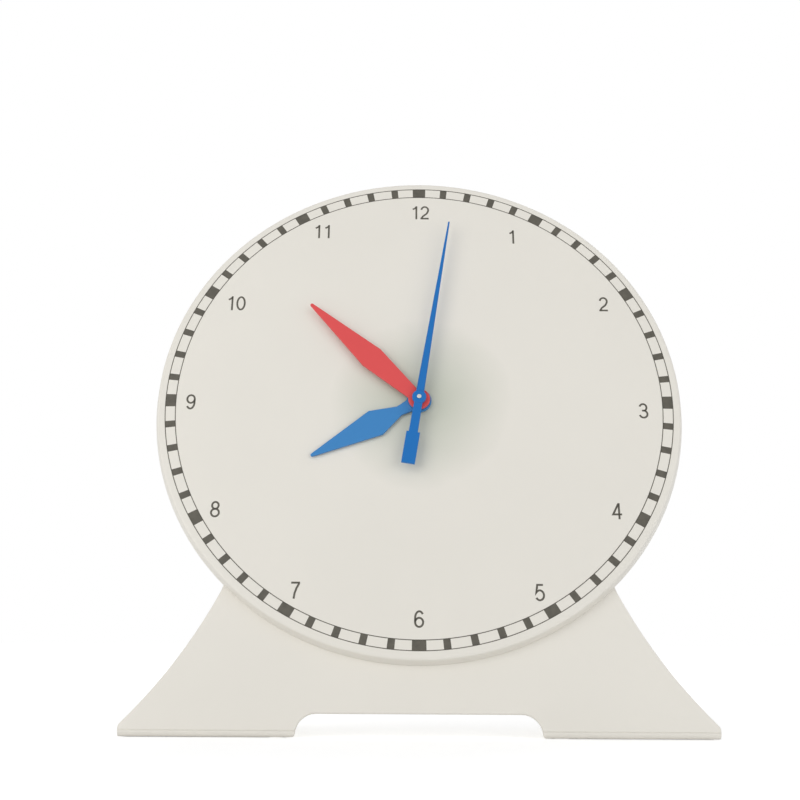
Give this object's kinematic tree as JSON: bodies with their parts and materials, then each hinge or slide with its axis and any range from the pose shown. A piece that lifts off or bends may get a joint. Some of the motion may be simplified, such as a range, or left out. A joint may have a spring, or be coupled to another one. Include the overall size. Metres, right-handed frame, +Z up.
{
  "type": "geared teaching clock",
  "caption": "Round teaching clock on a leaning stand: hour, minute and second hands on one axis, geared together and turned by a knob at the back.",
  "frame": {"origin": "middle of the footprint at floor level, under the middle of the dial's width, halfway between the toe of the stand and the rear of its feet", "axes": "+Z is up, the dial faces -Y and leans back 15 degrees, and +X is to the right for someone who reads the dial"},
  "size_m": [0.292, 0.1111, 0.3066],
  "materials": {
    "dial_white": "fine matte moulded",
    "stand_white": "fine matte moulded",
    "case_white": "fine matte moulded",
    "clear_cover": "clear, polished",
    "steel": "turned and plated",
    "second_blue": "satin moulded",
    "minute_red": "satin moulded",
    "hour_blue": "satin moulded",
    "gear_ivory": "natural moulded",
    "dial_ink": "screen printed"
  },
  "bodies": {
    "root": {"dial_plate": "dial_white", "stand": "stand_white", "stand_screws": "steel", "gear_base": "case_white", "gear_cover": "clear_cover", "case_screws": "steel", "motion_post": "steel", "post_clip": "steel"},
    "third_train": {"third_wheel": "gear_ivory", "third_arbor": "steel", "friction_washer": "steel", "setting_knob": "case_white", "knob_screw": "steel"},
    "second_train": {"second_arbor": "steel", "second_pinion": "gear_ivory", "second_hand": "second_blue"},
    "minute_train": {"minute_pipe": "minute_red", "centre_wheel": "minute_red", "minute_hand": "minute_red"},
    "motion_train": {"motion_wheel": "gear_ivory"},
    "hour_train": {"hour_wheel": "hour_blue", "hour_hand": "hour_blue"}
  },
  "joints": [
    {"name": "knob_turn", "type": "hinge", "parent": "root", "child": "third_train", "pos_m": [0.034, -0.01632, 0.17185], "axis": [0, -0.9659, 0.2588], "continuous": true},
    {"name": "second_turn", "type": "hinge", "parent": "root", "child": "second_train", "pos_m": [0, -0.01632, 0.17185], "axis": [0, 0.9659, -0.2588], "continuous": true},
    {"name": "minute_turn", "type": "hinge", "parent": "root", "child": "minute_train", "pos_m": [0, -0.01632, 0.17185], "axis": [0, 0.9659, -0.2588], "continuous": true},
    {"name": "motion_turn", "type": "hinge", "parent": "root", "child": "motion_train", "pos_m": [-0.03, -0.01632, 0.17185], "axis": [0, 0.9659, -0.2588], "continuous": true},
    {"name": "hour_turn", "type": "hinge", "parent": "root", "child": "hour_train", "pos_m": [0, -0.01632, 0.17185], "axis": [0, 0.9659, -0.2588], "continuous": true}
  ],
  "couplings": [
    {"joint": "second_turn", "follows": "knob_turn", "ratio": 7.5},
    {"joint": "minute_turn", "follows": "knob_turn", "ratio": 0.125},
    {"joint": "motion_turn", "follows": "knob_turn", "ratio": -0.041667},
    {"joint": "hour_turn", "follows": "knob_turn", "ratio": 0.010417}
  ]
}
